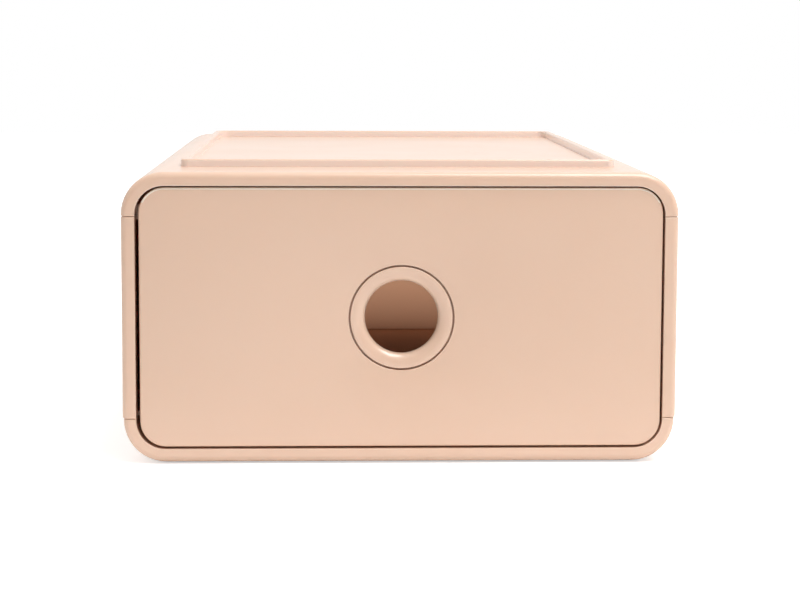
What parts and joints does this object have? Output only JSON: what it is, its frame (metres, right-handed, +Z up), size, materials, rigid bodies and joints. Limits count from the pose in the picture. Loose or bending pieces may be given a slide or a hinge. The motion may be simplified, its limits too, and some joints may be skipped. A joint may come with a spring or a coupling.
{
  "type": "stackable drawer box",
  "caption": "Snap-together drawer box with rounded corners, a raised stacking rim on top, and one deep drawer pulled by a round finger ring.",
  "frame": {"origin": "on the resting plane, under the middle of the box", "axes": "+Z up, -Y out of the drawer's front, +X to the right seen from the front"},
  "size_m": [0.26, 0.37, 0.1408],
  "materials": {
    "shell": "moulded polypropylene, satin",
    "panel": "moulded polypropylene, satin",
    "fascia": "moulded polypropylene, satin",
    "ring": "moulded polypropylene, satin",
    "tub": "moulded polypropylene, satin",
    "foot": "soft translucent elastomer"
  },
  "bodies": {
    "casing": {"top_shell": "shell", "bottom_shell": "shell", "left_side_panel": "panel", "right_side_panel": "panel", "back_panel": "panel", "foot_front_left": "foot", "foot_front_right": "foot", "foot_back_left": "foot", "foot_back_right": "foot"},
    "drawer": {"drawer_tub": "tub", "drawer_front": "fascia", "pull_ring": "ring"}
  },
  "joints": [
    {"name": "drawer_slide", "type": "slide", "parent": "casing", "child": "drawer", "axis": [0, -1, 0], "range_m": [0, 0.29]}
  ]
}
